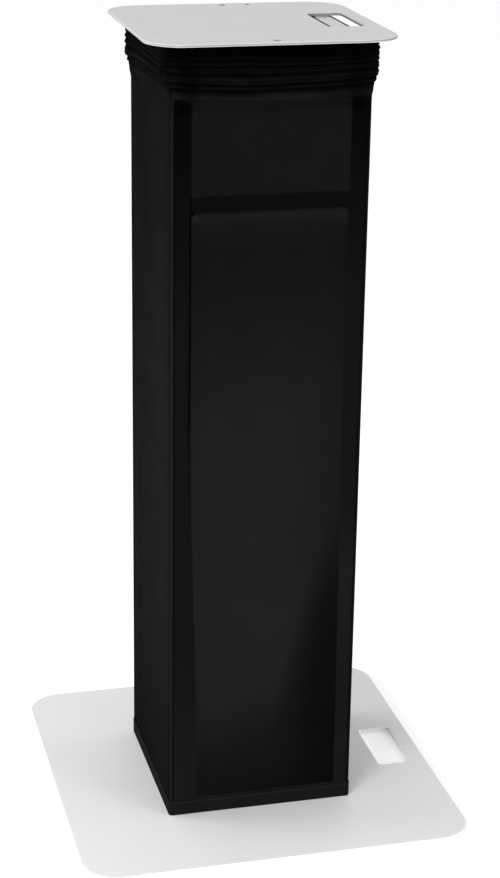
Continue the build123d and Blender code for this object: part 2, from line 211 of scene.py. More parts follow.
class FinishGraph:
    """A material's node graph, with short calls for what the finishes share."""

    def __init__(self, name: str) -> None:
        """Starts an empty graph with one shader.

        Args:
            name: The material's name.
        """
        self.material = bpy.data.materials.new(name)
        self.material.use_nodes = True
        self.tree = self.material.node_tree
        self.tree.nodes.clear()
        self.shader = self.add("ShaderNodeBsdfPrincipled")
        output = self.add("ShaderNodeOutputMaterial")
        self.tree.links.new(self.shader.outputs["BSDF"], output.inputs["Surface"])

    def add(self, kind: str, **settings: object) -> bpy.types.Node:
        """Adds a node.

        Args:
            kind: The node's type.
            settings: The node's own options.

        Returns:
            The node.
        """
        node = self.tree.nodes.new(kind)
        for key, value in settings.items():
            setattr(node, key, value)
        return node

    def feed(self, socket: Socket, value: object) -> None:
        """Links a socket to another, or sets it to a plain value.

        Args:
            socket: The socket to fill.
            value: Another socket, a number, a vector or a colour.
        """
        if isinstance(value, Socket):
            self.tree.links.new(value, socket)
        else:
            socket.default_value = value

    def surface(self, **values: object) -> None:
        """Sets the shader's sockets; an underscore in a name stands for a space."""
        for key, value in values.items():
            self.feed(self.shader.inputs[key.replace("_", " ")], value)

    def place(self) -> Socket:
        """The place on the piece, in metres."""
        return self.add("ShaderNodeTexCoord").outputs["Object"]

    def axes(self, vector: Socket) -> list[Socket]:
        """Takes a vector apart.

        Args:
            vector: The vector's socket.

        Returns:
            Its x, y and z sockets.
        """
        node = self.add("ShaderNodeSeparateXYZ")
        self.feed(node.inputs[0], vector)
        return list(node.outputs)

    def stretched(self, vector: Socket, by: Place) -> Socket:
        """Scales a place by a different amount along each axis.

        Args:
            vector: The place.
            by: The three factors.

        Returns:
            The scaled place's socket.
        """
        node = self.add("ShaderNodeMapping")
        self.feed(node.inputs["Vector"], vector)
        node.inputs["Scale"].default_value = by
        return node.outputs["Vector"]

    def noise(self, vector: Socket, size: float, detail: float = 2.0) -> Socket:
        """Cloudy noise.

        Args:
            vector: The place it is read at.
            size: Size of its clouds, in metres.
            detail: How much finer noise is laid over it.

        Returns:
            A socket from 0 to 1.
        """
        node = self.add("ShaderNodeTexNoise")
        self.feed(node.inputs["Vector"], vector)
        node.inputs["Scale"].default_value = 1.0 / size
        node.inputs["Detail"].default_value = detail
        return node.outputs["Fac"]

    def cells(self, vector: Socket, size: float, output: str = "Distance") -> Socket:
        """Cells of about one size.

        Args:
            vector: The place they are read at.
            size: Their size, in metres.
            output: Distance for their distance field, Color for their own colours.

        Returns:
            That output's socket.
        """
        node = self.add("ShaderNodeTexVoronoi")
        self.feed(node.inputs["Vector"], vector)
        node.inputs["Scale"].default_value = 1.0 / size
        return node.outputs[output]

    def calc(self, operation: str, first: object, second: object = 0.0) -> Socket:
        """One step of arithmetic.

        Args:
            operation: The node's name for it.
            first: A socket or a number.
            second: A socket or a number.

        Returns:
            The result's socket.
        """
        node = self.add("ShaderNodeMath", operation=operation)
        self.feed(node.inputs[0], first)
        self.feed(node.inputs[1], second)
        return node.outputs[0]

    def spread(self, value: Socket, low: float, high: float) -> Socket:
        """Turns the middling values of a noise into a range.

        Args:
            value: The noise.
            low: What 0.3 becomes.
            high: What 0.7 becomes.

        Returns:
            The result's socket.
        """
        node = self.add("ShaderNodeMapRange")
        self.feed(node.inputs["Value"], value)
        for socket, number in (("From Min", 0.3), ("From Max", 0.7), ("To Min", low), ("To Max", high)):
            node.inputs[socket].default_value = number
        return node.outputs["Result"]

    def between(self, share: Socket, first: Socket | Colour, second: Socket | Colour) -> Socket:
        """A colour between two.

        Args:
            share: 0 for the first and 1 for the second.
            first: A socket or a colour.
            second: A socket or a colour.

        Returns:
            The colour's socket.
        """
        node = self.add("ShaderNodeMix", data_type="RGBA")
        self.feed(node.inputs["Factor"], share)
        for index, value in ((6, first), (7, second)):
            self.feed(node.inputs[index], (*value, 1.0) if isinstance(value, tuple) else value)
        return node.outputs[2]

    def mottled(self, cloud: Socket, colour: Colour, dark: float) -> Socket:
        """A colour that is darker, by a factor, where a noise is low."""
        return self.between(self.spread(cloud, 0.0, 1.0), shade(colour, dark), colour)

    def relief(self, height: Socket, depth: float, strength: float = 1.0,
               over: Socket | None = None) -> Socket:
        """Turns a height into a shading normal.

        Args:
            height: Height from 0 to 1.
            depth: What a height of 1 stands for, in metres.
            strength: How much of it shows.
            over: A normal that this one is laid over.

        Returns:
            The normal's socket.
        """
        node = self.add("ShaderNodeBump")
        self.feed(node.inputs["Height"], height)
        node.inputs["Distance"].default_value = depth
        node.inputs["Strength"].default_value = strength
        if over is not None:
            self.feed(node.inputs["Normal"], over)
        return node.outputs["Normal"]


@dataclass(frozen=True)
class Finish:
    """What a piece is made of or coated with.

    Attributes:
        name: The material's name.
        colour: Its main colour.
    """

    name: str
    colour: Colour

    def material(self) -> Material:
        """Builds the material.

        Returns:
            The material.
        """
        graph = FinishGraph(self.name)
        self.paint(graph)
        return graph.material

    def paint(self, graph: FinishGraph) -> None:
        """Sets the shader; each finish has its own way.

        Args:
            graph: The material's graph.
        """
        raise NotImplementedError


@dataclass(frozen=True)
class PowderCoat(Finish):
    """Baked powder paint on steel: even colour, fine orange peel, satin gloss.

    Attributes:
        gloss_blur: Roughness of the shine.
        peel: Size of the orange peel.
        peel_depth: Depth of the orange peel.
        fleck: Share of metal in the paint.
        edge_painted_shade: Brightness of the faces that stand upright, such as the cut edges, as a share of
            the level faces'; painted shade.
        speck: Size of the powder's specks.
        patch: Size of the faint clouds in the colour.
        handled: Size of the patches where hands have changed the gloss.
    """

    gloss_blur: float = 0.38
    peel: float = 1.6 * MM
    peel_depth: float = 0.018 * MM
    fleck: float = 0.0
    edge_painted_shade: float = 1.0
    speck: float = 0.5 * MM
    patch: float = 90.0 * MM
    handled: float = 35.0 * MM

    def paint(self, graph: FinishGraph) -> None:
        """Sets the shader.

        Args:
            graph: The material's graph.
        """
        place = graph.place()
        speck = graph.noise(place, self.speck, 1.0)
        even = graph.mottled(graph.noise(place, self.patch, 3.0), self.colour, 0.975)
        speckled = graph.between(graph.spread(speck, 0.0, 0.35), even, shade(self.colour, 0.955))
        # Painted shade: faces that stand upright, such as the cut edges, are made darker
        if self.edge_painted_shade < 1.0:
            upright = graph.axes(graph.add("ShaderNodeTexCoord").outputs["Normal"])[2]
            flat = graph.spread(graph.calc("ABSOLUTE", upright), 0.0, 1.0)
            speckled = graph.between(flat, shade(self.colour, self.edge_painted_shade), speckled)
        touched = graph.noise(place, self.handled, 4.0)
        peel = graph.relief(graph.noise(place, self.peel, 1.0), self.peel_depth)
        graph.surface(
            Base_Color=speckled,
            Roughness=graph.spread(touched, self.gloss_blur - 0.03, self.gloss_blur + 0.05),
            Metallic=self.fleck,
            Specular_IOR_Level=0.3,
            Normal=graph.relief(speck, 0.004 * MM, 1.0, peel),
        )


class ThreadAxis(Enum):
    """Which way a screw thread runs, or none."""

    NONE = None
    ALONG_X = 0
    ALONG_Z = 2


@dataclass(frozen=True)
class ZincPlate(Finish):
    """Bright zinc plating: crystals of slightly different grey, a soft broken shine.

    Attributes:
        gloss_blur: Roughness of the shine.
        spangle: Size of the crystals.
        drawn: How the shine's streaks stretch along each axis.
        thread: The screw thread's direction.
        pitch: The screw thread's pitch.
        groove: Depth of the screw thread.
    """

    gloss_blur: float = 0.34
    spangle: float = 5.0 * MM
    drawn: Place = (1.0, 1.0, 1.0)
    thread: ThreadAxis = ThreadAxis.NONE
    pitch: float = 1.0 * MM
    groove: float = 0.35 * MM

    def paint(self, graph: FinishGraph) -> None:
        """Sets the shader.

        Args:
            graph: The material's graph.
        """
        place = graph.place()
        streak = graph.noise(graph.stretched(place, self.drawn), 1.2 * MM, 3.0)
        bright = graph.add("ShaderNodeRGBToBW")
        graph.feed(bright.inputs[0], graph.cells(place, self.spangle, "Color"))
        tint = graph.between(graph.calc("MULTIPLY", bright.outputs[0], 0.25),
                             graph.mottled(streak, self.colour, 0.86), shade(self.colour, 1.15))
        dull = graph.noise(place, 12.0 * MM, 4.0)
        normal = graph.relief(streak, 0.006 * MM)
        normal = graph.relief(graph.cells(place, self.spangle), 0.01 * MM, 0.6, normal)
        if self.thread is not ThreadAxis.NONE:
            turns = graph.calc("MULTIPLY", graph.axes(place)[self.thread.value], math.tau / self.pitch)
            wave = graph.calc("MULTIPLY_ADD", graph.calc("SINE", turns), 0.5)
            normal = graph.relief(wave, self.groove, 0.9, normal)
        graph.surface(
            Base_Color=tint,
            Metallic=1.0,
            Roughness=graph.spread(dull, self.gloss_blur - 0.06, self.gloss_blur + 0.12),
            Normal=normal,
        )


@dataclass(frozen=True)
class MouldedPlastic(Finish):
    """Moulded plastic with a spark-eroded grain.

    Attributes:
        gloss_blur: Roughness of the shine.
        grain: Size of the grain.
        grain_depth: Depth of the grain.
    """

    gloss_blur: float = 0.5
    grain: float = 0.45 * MM
    grain_depth: float = 0.03 * MM

    def paint(self, graph: FinishGraph) -> None:
        """Sets the shader.

        Args:
            graph: The material's graph.
        """
        place = graph.place()
        cloud = graph.noise(place, 10.0 * MM, 3.0)
        graph.surface(
            Base_Color=graph.mottled(cloud, self.colour, 0.85),
            Roughness=graph.spread(cloud, self.gloss_blur - 0.05, self.gloss_blur + 0.08),
            Normal=graph.relief(graph.noise(place, self.grain, 2.0), self.grain_depth),
        )


@dataclass(frozen=True)
class Rubber(Finish):
    """Matt moulded rubber with a dusty bloom.

    Attributes:
        dust: The bloom's colour.
    """

    dust: Colour = (0.09, 0.088, 0.085)

    def paint(self, graph: FinishGraph) -> None:
        """Sets the shader.

        Args:
            graph: The material's graph.
        """
        place = graph.place()
        bloom = graph.noise(place, 6.0 * MM, 4.0)
        graph.surface(
            Base_Color=graph.between(graph.spread(bloom, 0.0, 0.3), self.colour, self.dust),
            Roughness=graph.spread(bloom, 0.72, 0.9),
            Normal=graph.relief(graph.noise(place, 0.7 * MM, 2.0), 0.05 * MM),
        )


@dataclass(frozen=True)
class StretchKnit(Finish):
    """Warp knit with painted light and shade: a vertex layer mixes its dark colour, where it is pressed on
    the frame, with a lighter one.

    Attributes:
        painted_lit_colour: Colour where the painted light is fullest, standing for light shown through the
            knit where it spans a gap.
        wale: Width of one knit loop.
        course: Height of one knit loop.
        loop_depth: Depth of the loops.
    """

    painted_lit_colour: Colour = (0.01, 0.01, 0.01)
    wale: float = 0.9 * MM
    course: float = 0.7 * MM
    loop_depth: float = 0.05 * MM

    def loops(self, graph: FinishGraph, cloth: Socket) -> Socket:
        """The height of the knit: columns of small V-shaped loops.

        Args:
            graph: The graph to build in.
            cloth: The place on the cloth.

        Returns:
            A height from 0 to 1.
        """
        along, up, _ = graph.axes(cloth)
        column = graph.calc("FRACT", graph.calc("DIVIDE", along, self.wale))
        from_middle = graph.calc("ABSOLUTE", graph.calc("SUBTRACT", column, 0.5))
        row = graph.calc("DIVIDE", up, self.course)
        leg = graph.calc("FRACT", graph.calc("ADD", row, graph.calc("MULTIPLY", from_middle, 1.4)))
        rise = graph.calc("SINE", graph.calc("MULTIPLY", leg, math.pi))
        crown = graph.calc("SINE", graph.calc("MULTIPLY", from_middle, math.tau))
        return graph.calc("MULTIPLY", rise, graph.calc("ADD", graph.calc("MULTIPLY", crown, 0.6), 0.4))

    def paint(self, graph: FinishGraph) -> None:
        """Sets the shader.

        Args:
            graph: The material's graph.
        """
        cloth = graph.add("ShaderNodeUVMap", uv_map=CLOTH_MAP).outputs["UV"]
        tone = graph.add("ShaderNodeAttribute", attribute_name=PAINTED_LIGHT_LAYER).outputs["Fac"]
        yarn = graph.noise(graph.stretched(cloth, (1.0, 0.35, 1.0)), 1.4 * MM, 2.0)
        cloud = graph.noise(cloth, 50.0 * MM, 3.0)
        uneven = graph.calc("MULTIPLY", graph.spread(yarn, 0.9, 1.1), graph.spread(cloud, 0.95, 1.05))
        scale = graph.add("ShaderNodeVectorMath", operation="SCALE")
        # Painted light and shade: the vertex layer mixes the dark colour with the painted lit colour
        graph.feed(scale.inputs[0], graph.between(tone, self.colour, self.painted_lit_colour))
        graph.feed(scale.inputs["Scale"], uneven)
        slub = graph.relief(yarn, 0.03 * MM, 0.5)
        graph.surface(
            Base_Color=scale.outputs[0],
            Roughness=graph.spread(cloud, 0.66, 0.78),
            Normal=graph.relief(self.loops(graph, cloth), self.loop_depth, 0.5, slub),
            Specular_IOR_Level=0.003,
        )


@dataclass(frozen=True)
class TapePile(Finish):
    """The face of a touch tape, hooked or looped.

    Attributes:
        tuft: Distance between hooks or loops.
        tuft_depth: How far they stand out.
    """

    tuft: float = 1.0 * MM
    tuft_depth: float = 0.3 * MM

    def paint(self, graph: FinishGraph) -> None:
        """Sets the shader.

        Args:
            graph: The material's graph.
        """
        place = graph.place()
        tufts = graph.cells(place, self.tuft)
        fuzz = graph.noise(place, 0.4 * MM, 3.0)
        graph.surface(
            Base_Color=graph.mottled(fuzz, self.colour, 0.6),
            Roughness=0.85,
            Specular_IOR_Level=0.2,
            Normal=graph.relief(fuzz, 0.1 * MM, 0.7, graph.relief(tufts, self.tuft_depth)),
        )


@dataclass(frozen=True)
class TwistedThread(Finish):
    """Spun polyester sewing thread.

    Attributes:
        twist: Length of one turn of its yarns.
    """

    twist: float = 0.4 * MM

    def paint(self, graph: FinishGraph) -> None:
        """Sets the shader.

        Args:
            graph: The material's graph.
        """
        place = graph.place()
        x, y, z = graph.axes(place)
        slant = graph.calc("ADD", z, graph.calc("ADD", x, y))
        ply = graph.calc("SINE", graph.calc("MULTIPLY", slant, math.tau / self.twist))
        graph.surface(
            Base_Color=graph.mottled(graph.noise(place, 0.2 * MM, 2.0), self.colour, 0.7),
            Roughness=0.6,
            Specular_IOR_Level=0.25,
            Normal=graph.relief(ply, 0.05 * MM, 0.8),
        )


# ---- The way round the column ----


class Face(Enum):
    """The column's four faces, in order round it."""

    FRONT = 0
    RIGHT = 1
    REAR = 2
    LEFT = 3

    @property
    def outward(self) -> Array:
        """The face's outward direction."""
        return np.array(((0.0, -1.0), (1.0, 0.0), (0.0, 1.0), (-1.0, 0.0))[self.value])

    @property
    def along(self) -> Array:
        """The direction to the right when one looks at the face."""
        return np.array(((1.0, 0.0), (0.0, 1.0), (-1.0, 0.0), (0.0, -1.0))[self.value])


@dataclass(frozen=True)
class Round:
    """Places round a rounded square, each with its outward direction.

    Attributes:
        point: x and y of each place.
        outward: Its outward direction.
        face: The number of its face.
        across: Its distance from the middle of the face, to the right.
        turn: Share of the way round, from the middle of the rear.
        length: The whole way round.
    """

    point: Array
    outward: Array
    face: Array
    across: Array
    turn: Array
    length: float

    def on(self, *faces: Face) -> Array:
        """1 at places on these faces and 0 elsewhere."""
        return np.isin(self.face, [f.value for f in faces]).astype(float)

    def lengths(self) -> Array:
        """Length travelled to each place, and at last the whole way round."""
        return np.concatenate((self.turn, [1.0])) * self.length


@dataclass(frozen=True)
class SquareRound:
    """The rounded square that a piece follows round the column.

    Attributes:
        half: From the middle to each face.
        corner: Radius at the corners.
        half_face: Steps from the middle of a face to where its corner starts.
        corner_steps: Steps round each corner.
    """

    half: float
    corner: float
    half_face: Spans = ((1.0, 6),)
    corner_steps: int = 4

    def places(self) -> Round:
        """Walks round the square from the middle of the rear.

        Returns:
            The places.
        """
        straight = self.half - self.corner
        positive = steps(0.0, [(min(end, straight), n) for end, n in self.half_face])
        flat = np.concatenate((-positive[:0:-1], positive))
        bend = np.linspace(0.0, math.pi / 2, self.corner_steps + 1)[1:-1]
        rows = []
        for number in range(4):
            face, after = Face(number), Face((number + 1) % 4)
            for u in flat:
                rows.append((*(face.outward * self.half + face.along * u), *face.outward, number, u))
            centre = face.outward * straight + face.along * straight
            for angle in bend:
                out = face.outward * math.cos(angle) + face.along * math.sin(angle)
                early = angle < math.pi / 4 + 1e-6
                beyond = self.corner * (angle if early else math.pi / 2 - angle)
                u = (straight + beyond) * (1 if early else -1)
                rows.append((*(centre + out * self.corner), *out, (face if early else after).value, u))
        table = np.array(rows)
        start = np.flatnonzero((table[:, 4] == Face.REAR.value) & (np.abs(table[:, 5]) < 1e-9))[0]
        table = np.roll(table, -int(start), axis=0)
        travelled = travel(np.concatenate((table[:, :2], table[:1, :2])))
        return Round(table[:, :2], table[:, 2:4], table[:, 4].astype(int), table[:, 5],
                     travelled[:-1] / travelled[-1], float(travelled[-1]))


# ---- The cover ----


@dataclass(frozen=True)
class Gather:
    """The surplus of the cover, bunched into level folds under the top plate.

    Attributes:
        top: Height of the cover's upper edge.
        corner_starts: Height where the folds start, at the corners front left, front right,
            rear right and rear left.
        middle_starts: The same at the middles of the front, right, rear and left faces.
        valleys: Where the folds meet, from the lowest up, as shares of the bunch's height.
        painted_crest_light: Painted light on each fold's crest, falling to painted shade at the top under the
            plate.
        usual_fold: Share of the bunch's height that an ordinary fold takes.
        fold_depth: How far a fold stands out of its valleys.
        valley_depth: How far a valley is drawn in.
        crumple_depth: Depth of the small creases.
        split_depth: Depth of the thin crease that parts some of the wider folds.
        bulge: How far the whole bunch stands out.
        droop: How far a fold's crest hangs down.
        tuck: How far the upper edge is drawn in to the tape.
        near_corner: From where across a face to where the corner crumples the folds.
        drawn_tight: From where across a face to where the corner draws them tight.
        pinch_at: Where across a face the post beside it pinches them.
        pinch_width: How wide that is.
    """

    top: float = 0.9960
    corner_starts: tuple[float, ...] = (0.9320, 0.9300, 0.9250, 0.9170)
    middle_starts: tuple[float, ...] = (0.9255, 0.9270, 0.9215, 0.9310)
    valleys: tuple[float, ...] = (0.0, 0.235, 0.322, 0.505, 0.622, 0.708, 0.790, 0.880, 1.0)
    painted_crest_light: tuple[float, ...] = (0.47, 0.25, 0.38, 0.26, 0.17, 0.11, 0.02, 0.0)
    usual_fold: float = 0.125
    fold_depth: float = 3.0 * MM
    valley_depth: float = 0.9 * MM
    crumple_depth: float = 0.42 * MM
    split_depth: float = 0.9 * MM
    bulge: float = 5.4 * MM
    droop: float = 1.0 * MM
    tuck: float = 7.0 * MM
    near_corner: tuple[float, float] = (0.085, 0.118)
    drawn_tight: tuple[float, float] = (0.108, 0.119)
    pinch_at: float = 0.100
    pinch_width: float = 0.012

    def start(self, way: Round) -> Array:
        """Finds the height where the folds start.

        Args:
            way: The places round the column.

        Returns:
            That height at each place.
        """
        share = way.across / np.abs(way.across).max()
        begin = np.array([self.corner_starts[f] for f in way.face])
        end = np.array([self.corner_starts[(f + 1) % 4] for f in way.face])
        middle = np.array([self.middle_starts[f] for f in way.face])
        level = begin + (end - begin) * (share + 1) / 2
        sag = middle - (begin + end) / 2
        wander = 0.5 * MM * Ripple(11, 13, 1.0).at(way.turn, way.turn * 0)
        return level + sag * (1 - np.abs(share) ** 2.4) + wander

    def shape(self, way: Round, rise: Array) -> tuple[Array, Array, Array]:
        """How far the cloth stands out and hangs down in the bunch, and its painted light and shade.

        Args:
            way: The places round the column, one for each column of the grid.
            rise: Share of the way up the bunch, one for each row of the grid.

        Returns:
            Outward offset, droop and painted light, each a grid of rows by columns.
        """
        turn, up = way.turn[None, :], rise[:, None]
        edge = np.abs(way.across)[None, :]
        side = way.on(Face.LEFT, Face.RIGHT)[None, :]
        corner = ease(edge, *self.near_corner)
        tight = ease(edge, *self.drawn_tight)
        pinch = bell(edge, self.pinch_at, self.pinch_width)
        body = ease(up, 0.02, 0.1) * (1 - ease(up, 0.94, 1.0))
        at_tape = ease(up, 0.93, 1.0)

        # Which fold each point is in, and where in it
        drift = 0.030 * Ripple(21, 11, 0.4).at(turn, up) + 0.010 * Ripple(22, 30, 0.2).at(turn, up)
        drift = drift + (0.020 * corner + 0.014 * side) * Ripple(23, 60, 0.12).at(turn, up)
        moved = np.clip(up + drift * ease(up, 0.02, 0.16) * (1 - 0.7 * ease(up, 0.8, 1.0)), 0.0, 1.0)
        phase = np.interp(moved, self.valleys, np.arange(len(self.valleys)))
        number = np.minimum(np.floor(phase), len(self.painted_crest_light) - 1)
        part = phase - number
        tall = np.diff(self.valleys)[number.astype(int)] / self.usual_fold
        part = np.where(number < 1, part ** 0.74, part)
        crest = np.abs(np.sin(math.pi * part)) ** 0.75
        lowest = 1 - ease(phase, 0.8, 1.3)
        size = 1.0 + 0.28 * Ripple(24, 16, 1.0).at(turn, number) + 0.20 * Ripple(25, 46, 1.0).at(turn, number)
        size = size * (0.85 + 0.40 * pinch - 0.55 * tight) * (1 - 0.42 * lowest) * np.clip(tall, 0.7, 1.3)

        # Small creases, and the thin ones that part the wider folds
        crease = Ripple(26, 26, 0.045).at(turn, up) + 0.8 * corner * Ripple(28, 110, 0.03).at(turn, up)
        crumple = self.crumple_depth * crease * body * (1 - 0.5 * lowest)
        middle = 0.52 + 0.13 * Ripple(31, 18, 1.0).at(turn, number)
        patchy = ease(Ripple(32, 10, 1.0).at(turn, number * 1.7), -0.25, 0.35)
        split = bell(part, middle, 0.12) * np.maximum(patchy, 0.8 * ease(tall, 1.2, 1.4))
        split = split * ease(tall, 0.60, 0.95) * ease(number, 0.0, 1.0) * (1 - 0.6 * tight)

        stand = self.bulge * ease(up, 0.02, 0.50) * (0.78 + 0.30 * corner + 0.12 * side)
        grown = (0.35 + 0.65 * ease(up, 0.0, 0.12)) * (1 - 0.9 * at_tape)
        stand = stand + self.fold_depth * size * crest * grown
        valley = -self.valley_depth * (1 - crest) * body * (1 - 0.5 * tight) * (1 + 0.8 * pinch)
        stand = stand - self.split_depth * split + valley + crumple - self.tuck * at_tape
        # Painted light and shade: lighter on the crests, darker in the valleys, splits and pinches, and
        # darker on the left and right faces
        peak = np.array(self.painted_crest_light)[number.astype(int)]
        lit = peak * crest ** 1.6 * (1 + 0.22 * Ripple(27, 40, 1.0).at(turn, number) + 0.12 * crease)
        lit = lit * (1 - 0.85 * split) * (1 - 0.55 * pinch * (1 - side)) * (1 - 0.58 * side)
        return stand, self.droop * crest * np.minimum(size, 1.1) * body, lit


@dataclass(frozen=True)
class TautPaintedLight:
    """Painted light and shade on the taut cloth, as shares of its painted lit colour.

    Attributes:
        least: The front's and rear's tone where no painted light lightens them.
        gain: How strongly the shares below count there.
        panel: Painted light on the large panels, high up, standing for light seen through the knit.
        panel_rises: Painted light they gain lower down, with the heights that each gain comes in between.
        painted_brow_highlight: Painted highlight that they gain just under the cross rail.
        corner: Painted highlight that the front one gains in its upper left corner.
        upper: Painted light on the panels above the cross rail.
        bar: Painted light over the cross rail.
        post: Painted light over the posts, high up.
        post_rises: Painted light that the posts gain lower down.
        post_right: Painted light that the right post gains at a third of the height.
        foot_shade: Painted shade: how much darker the front gets towards its foot.
        right_shade: Painted shade: how much darker again at the foot's right.
        side: Painted light on the left and right faces, high up.
        side_rises: Painted light that they gain lower down.
        bend: Painted highlight that the bend of each corner gains.
        uneven: How far all of it wanders.
    """

    least: float = 0.085
    gain: float = 0.95
    panel: float = 0.34
    panel_rises: Rises = ((0.45, 0.76, 0.48), (0.07, 0.40, 0.28))
    painted_brow_highlight: float = 0.29
    corner: float = 0.3
    upper: float = 0.40
    bar: float = 0.125
    post: float = 0.01
    post_rises: Rises = ((0.28, 0.93, 0.62), (0.30, 0.28, 0.02))
    post_right: float = 0.34
    foot_shade: float = 0.60
    right_shade: float = 0.50
    side: float = 0.215
    side_rises: Rises = ((0.165, 0.90, 0.50), (-0.10, 0.35, 0.03))
    bend: float = 0.34
    uneven: float = 0.05


@dataclass(frozen=True)
class StretchCover:
    """The stretch-knit sleeve: taut over the frame below, gathered above.

    Attributes:
        way: The rounded square it follows.
        bottom: Height of its lower edge.
        thick: Thickness of the cloth.
        taut_top: Height up to which its rows are level.
        taut_rows: Row heights and counts up to there.
        gather: Its gathered top.
        taut_painted_light: Painted light and shade on its taut part.
        panel_half: Half the width of the free cloth between the posts.
        panel_bottom: Where the large front and rear panels start.
        panel_top: Where they end, under the cross rail.
        bar_top: Upper side of the cross rail's shape in the cloth.
        lean: How far the large front panel is pulled to the right near its foot.
        narrowing: How much its half width shrinks there.
        panel_corner: Radius of the large panels' upper corners.
        foot_corner: Radius of their lower corners.
        post_inside: From the middle of a face to the posts' inner edges.
        seam_half: Half the width of the lapped rear seam.
        stitch_line: From the seam's middle to each of its stitch lines.
        rise_rows: Rows from the level ones to where the folds start.
        fold_rows: Rows up the gather.
        lip_rows: Rows over the upper edge.
        lip: Radius of the upper edge.
    """

    way: SquareRound = SquareRound(
        half=0.1200, corner=0.0042,
        half_face=((0.0035, 1), (0.0055, 2), (0.083, 11), (0.0995, 12), (0.111, 3), (1.0, 4)),
    )
    bottom: float = 0.0082
    thick: float = 0.8 * MM
    taut_top: float = 0.905
    taut_rows: Spans = ((0.0265, 3), (0.0345, 8), (0.785, 28), (0.829, 34), (0.905, 6))
    gather: Gather = Gather()
    taut_painted_light: TautPaintedLight = TautPaintedLight()
    panel_half: float = 0.0952
    panel_bottom: float = 0.0310
    panel_top: float = 0.7995
    bar_top: float = 0.8190
    lean: float = 6.5 * MM
    narrowing: float = 3.4 * MM
    panel_corner: float = 7.0 * MM
    foot_corner: float = 2.0 * MM
    post_inside: float = 0.0960
    seam_half: float = 4.5 * MM
    stitch_line: float = 3.5 * MM
    rise_rows: int = 8
    fold_rows: int = 80
    lip_rows: int = 3
    lip: float = 0.5 * MM

    def inside_panel(self, across: Array, height: Array, front: Array) -> Array:
        """Distance inside the large panel's rounded outline.

        Args:
            across: Distance from the middle of the face, to the right.
            height: Heights, a grid of rows by columns.
            front: 1 on the front face and 0 elsewhere.

        Returns:
            The distance, negative outside the outline.
        """
        pulled = ease(height, 0.55, 0.05) * front
        middle = (self.panel_bottom + self.panel_top) / 2
        half_height = (self.panel_top - self.panel_bottom) / 2
        radius = np.where(height > middle, self.panel_corner, self.foot_corner)
        dx = np.abs(across - self.lean * pulled) - self.panel_half + self.narrowing * pulled + radius
        dz = np.abs(height - middle) - half_height + radius
        outside = np.hypot(np.maximum(dx, 0), np.maximum(dz, 0))
        return -(outside + np.minimum(np.maximum(dx, dz), 0) - radius)

    def on_bar(self, height: Array, soft: float) -> Array:
        """1 at heights on the cross rail and 0 off it, with edges this soft."""
        return ease(height, self.panel_top - 1 * MM, self.panel_top + soft) * ease(
            height, self.bar_top + soft, self.bar_top - soft)

    def above_bar(self, height: Array, soft: float) -> Array:
        """1 at heights above the cross rail and 0 below, rising over this length."""
        return ease(height, self.bar_top - 1 * MM, self.bar_top + soft)

    def taut_relief(self, way: Round, height: Array) -> Array:
        """How far the taut cloth stands off its path.

        Args:
            way: The places round the column.
            height: Heights, a grid of rows by columns.

        Returns:
            The outward offset on that grid.
        """
        across, turn = way.across[None, :], way.turn[None, :]
        edge = np.abs(across)
        ends, front = way.on(Face.FRONT, Face.REAR)[None, :], way.on(Face.FRONT)[None, :]
        inside = self.inside_panel(across, height, front)
        free = ease(inside, 0.0, 5.0 * MM)
        pillow = 0.75 * MM * ease(inside, -0.3 * MM, 3.5 * MM)
        left_edge = ease(across, -0.080, -0.088) * ease(height, 0.15, 0.62) * front
        groove_depth = 0.35 + 0.75 * left_edge + 0.5 * ease(height, 0.05, 0.03)
        groove = -0.85 * MM * groove_depth * bell(inside, -0.9 * MM, 1.1 * MM)
        bar = -0.55 * MM * self.on_bar(height, 1.5 * MM) * ease(edge, 0.0965, 0.0935)
        upper = self.above_bar(height, 6 * MM) * ease(edge, self.post_inside, 0.0885)
        side = ease(edge, 0.0935, 0.084) * ease(height, 0.026, 0.036)
        large = Ripple(31, 12, 0.21).at(turn, height) + 0.5 * Ripple(32, 26, 0.09).at(turn, height)
        creases = Ripple(33, 11, 0.012).at(turn, height)
        shaped = ends * (pillow + groove + bar + 0.35 * MM * upper) + (1 - ends) * 0.4 * MM * side
        loose = ends * np.maximum(free, upper) + (1 - ends) * side
        waves = (0.1 + loose) * 0.28 * MM * large + loose * 0.03 * MM * creases
        seam = 0.5 * MM * ease(edge, self.seam_half + 0.7 * MM, self.seam_half - 0.7 * MM)
        seam = seam * way.on(Face.REAR)[None, :]
        ridge = -0.22 * MM * bell(edge, 0.1143, 0.9 * MM)
        return shaped + waves + seam + ridge

    def tone(self, way: Round, height: Array) -> Array:
        """Painted light and shade on the cloth: 0 darkest, where it is pressed on the frame, 1 lightest,
        where light would show through it over a gap.

        Args:
            way: The places round the column.
            height: Heights, a grid of rows by columns.

        Returns:
            The tone on that grid.
        """
        t = self.taut_painted_light
        across, turn = way.across[None, :], way.turn[None, :]
        edge = np.abs(across)
        front = way.on(Face.FRONT)[None, :]
        bend = ease(edge, 0.1160, 0.1166)
        ends = way.on(Face.FRONT, Face.REAR)[None, :] * (1 - bend)
        inside = self.inside_panel(across, height, front)
        panel = ease(inside, -0.5 * MM, 1.0 * MM)
        upper = self.above_bar(height, 2 * MM) * ease(edge, self.post_inside, 0.0947)

        # The large panel: painted light for light seen through the knit, with painted shade slanting at its
        # foot
        slope = 0.17 + 0.02 * ease(across, -0.075, 0.0) + 0.24 * ease(across, 0.0, 0.095)
        below = (slope - height) * front
        right_shade = t.right_shade * ease(across, 0.02, 0.075) * ease(below, 0.08, 0.22)
        foot_shade = t.foot_shade * ease(below, 0.0, 0.12)
        large = (t.panel + rises(height, t.panel_rises)) * (1 - foot_shade) * (1 - right_shade)
